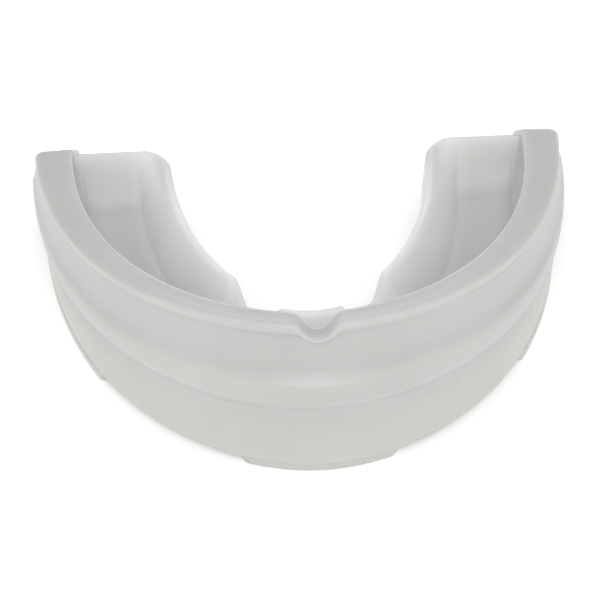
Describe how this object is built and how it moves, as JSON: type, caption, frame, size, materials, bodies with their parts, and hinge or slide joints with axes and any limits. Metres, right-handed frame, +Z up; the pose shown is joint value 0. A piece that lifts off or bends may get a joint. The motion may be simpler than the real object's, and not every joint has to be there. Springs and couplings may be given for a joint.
{
  "type": "boxing mouthguard",
  "caption": "Moulded upper mouthguard: a U-shaped tooth channel with a tall lip wall, frenum notch, low tongue wall, closed rear ends and raised pads underneath.",
  "frame": {"origin": "centre of the bounding box at the underside of the pads", "axes": "+X towards the wearer's left side, the longest extent; +Y from the lips to the throat; +Z up towards the upper teeth, the shortest extent"},
  "size_m": [0.062, 0.0463, 0.0195],
  "materials": {
    "clear_shell": "frosted translucent elastomer, satin",
    "milky_base": "milky translucent elastomer with a faint warm tint",
    "soft_liner": "soft frosted translucent lining, satin"
  },
  "bodies": {
    "root": {"outer_shell": "clear_shell", "fit_liner": "soft_liner", "bite_plate": "milky_base", "front_bite_pad": "milky_base", "left_rear_bite_pad": "milky_base", "right_rear_bite_pad": "milky_base"}
  },
  "joints": []
}
